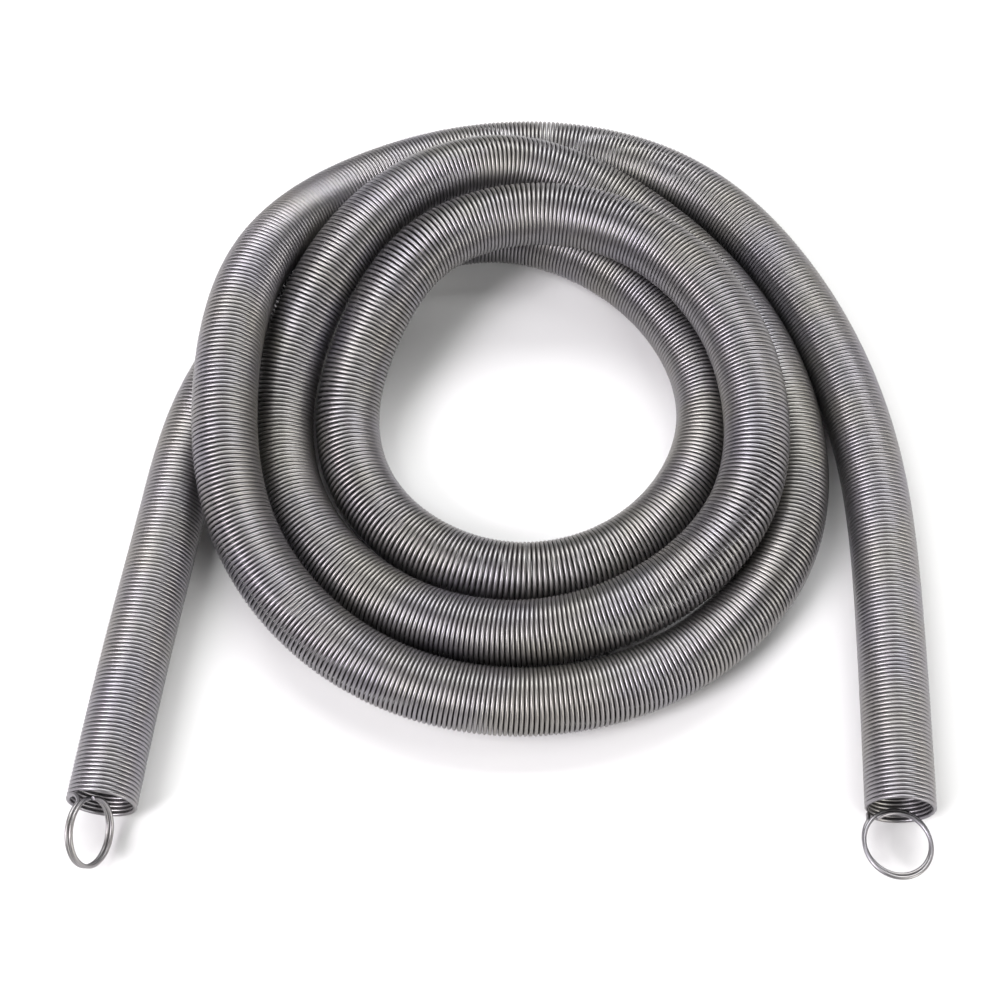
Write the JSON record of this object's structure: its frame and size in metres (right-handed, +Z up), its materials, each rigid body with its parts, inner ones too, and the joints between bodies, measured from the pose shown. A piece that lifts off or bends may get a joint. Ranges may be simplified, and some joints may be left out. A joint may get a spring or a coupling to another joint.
{
  "type": "demonstration spring",
  "caption": "Long close-wound steel coil spring, laid down in loops, with a full loop at each end for showing waves.",
  "frame": {"origin": "on the table, under the middle of the whole spring as it lies", "axes": "+Z up from the table, -Y towards the two end loops, +X to the right seen from the end loops"},
  "size_m": [0.2348, 0.2524, 0.0395],
  "materials": {
    "steel_wire": "bright drawn wire, close wound"
  },
  "bodies": {
    "root": {"spring": "steel_wire"}
  },
  "joints": []
}
